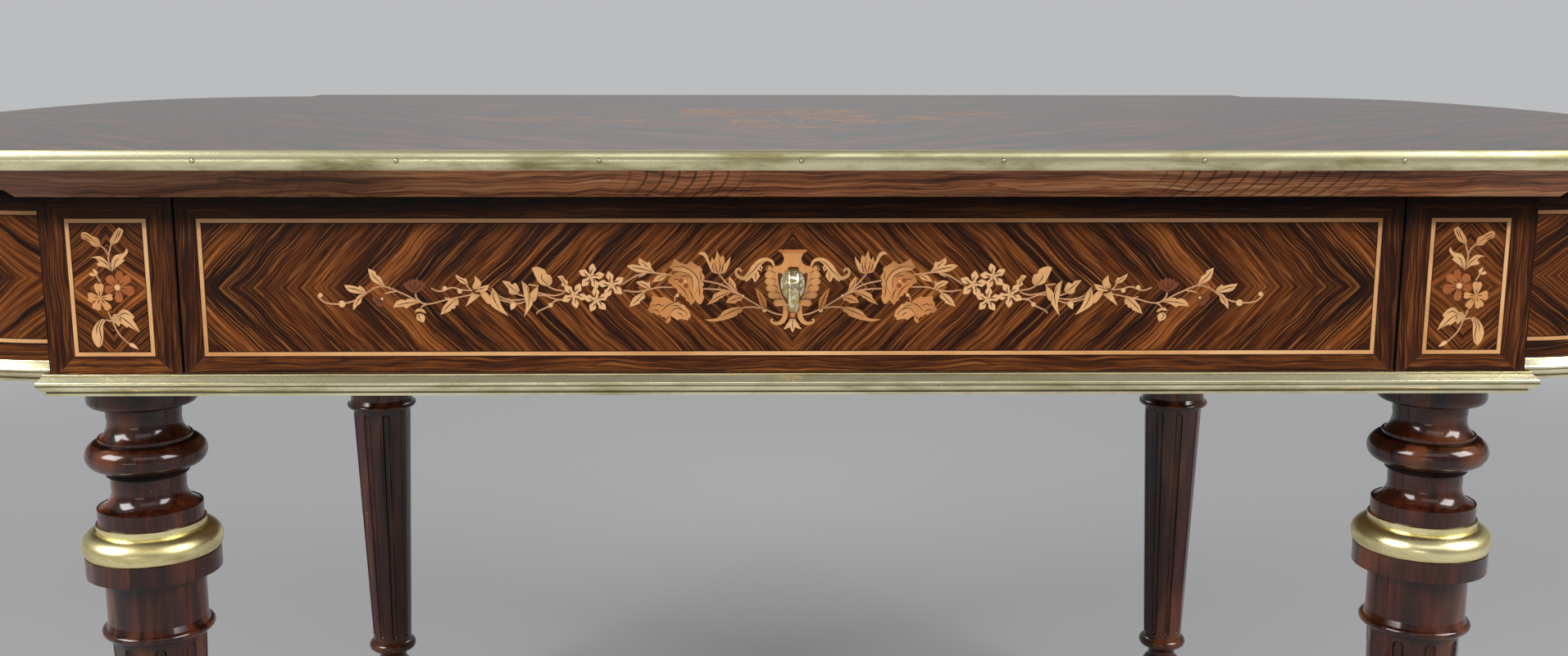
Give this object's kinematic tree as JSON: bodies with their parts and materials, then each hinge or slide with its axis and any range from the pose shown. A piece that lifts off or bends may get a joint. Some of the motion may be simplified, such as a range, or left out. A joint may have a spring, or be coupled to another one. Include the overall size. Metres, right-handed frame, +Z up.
{
  "type": "centre table",
  "caption": "Centre table with curved ends, a brass-edged veneered top, an inlaid frieze with a locking drawer, and turned, fluted legs with brass collars.",
  "frame": {"origin": "on the floor under the middle of the table", "axes": "+X along the table's length, +Z up, -Y towards the drawer side"},
  "size_m": [1.4518, 0.852, 0.755],
  "materials": {
    "top_veneer": "french-polished rosewood veneer, gloss",
    "lipping_rosewood": "rosewood, polished",
    "frieze_veneer": "quarter-matched rosewood veneer, polished",
    "leg_rosewood": "turned rosewood, gloss varnish",
    "boxwood": "inlaid boxwood, polished flush",
    "moulded_brass": "worn polished brass",
    "lock_brass": "dull cast brass",
    "key_brass": "bright worn brass",
    "screw_steel": "dull steel",
    "drawer_oak": "bare oak",
    "carcass_pine": "bare pine, darkened"
  },
  "bodies": {
    "table": {"back_rail": "frieze_veneer", "back_stringing": "boxwood", "block_stringing": "boxwood", "corner_block_back_left": "frieze_veneer", "corner_block_back_right": "frieze_veneer", "corner_block_front_left": "frieze_veneer", "corner_block_front_right": "frieze_veneer", "drawer_guide_left": "carcass_pine", "drawer_guide_right": "carcass_pine", "drawer_kicker_left": "carcass_pine", "drawer_kicker_right": "carcass_pine", "drawer_rail": "carcass_pine", "drawer_runner_left": "carcass_pine", "drawer_runner_right": "carcass_pine", "drawer_stops": "carcass_pine", "end_rail_left": "frieze_veneer", "end_rail_right": "frieze_veneer", "end_stringing": "boxwood", "frieze_brass_back": "moulded_brass", "frieze_brass_front": "moulded_brass", "frieze_brass_left": "moulded_brass", "frieze_brass_right": "moulded_brass", "glue_blocks": "carcass_pine", "leg_collar_back_left": "moulded_brass", "leg_collar_back_right": "moulded_brass", "leg_collar_front_left": "moulded_brass", "leg_collar_front_right": "moulded_brass", "leg_column_back_left": "leg_rosewood", "leg_column_back_right": "leg_rosewood", "leg_column_front_left": "leg_rosewood", "leg_column_front_right": "leg_rosewood", "leg_turning_back_left": "leg_rosewood", "leg_turning_back_right": "leg_rosewood", "leg_turning_front_left": "leg_rosewood", "leg_turning_front_right": "leg_rosewood", "top_brass_back": "moulded_brass", "top_brass_front": "moulded_brass", "top_brass_left": "moulded_brass", "top_brass_right": "moulded_brass", "top_lipping_back": "lipping_rosewood", "top_lipping_front": "lipping_rosewood", "top_lipping_left": "lipping_rosewood", "top_lipping_right": "lipping_rosewood", "top_panel": "top_veneer", "top_screws": "screw_steel"},
    "drawer": {"drawer_back": "drawer_oak", "drawer_bottom": "drawer_oak", "drawer_front": "frieze_veneer", "drawer_side_left": "drawer_oak", "drawer_side_right": "drawer_oak", "drawer_stringing": "boxwood", "escutcheon": "moulded_brass", "lock_case": "lock_brass", "lock_screws": "screw_steel"},
    "bolt": {"lock_bolt": "lock_brass"},
    "key": {"key": "key_brass"}
  },
  "joints": [
    {"name": "drawer_slide", "type": "slide", "parent": "table", "child": "drawer", "axis": [0, -1, 0], "range_m": [0, 0.38]},
    {"name": "key_turn", "type": "hinge", "parent": "drawer", "child": "key", "pos_m": [0, -0.394, 0.6627], "axis": [0, -1, 0], "range_deg": [0, 180]},
    {"name": "bolt_throw", "type": "slide", "parent": "drawer", "child": "bolt", "axis": [0, 0, 1], "range_m": [0, 0.006]}
  ],
  "couplings": [
    {"joint": "key_turn", "follows": "bolt_throw", "rad_per_m": 523.59}
  ]
}
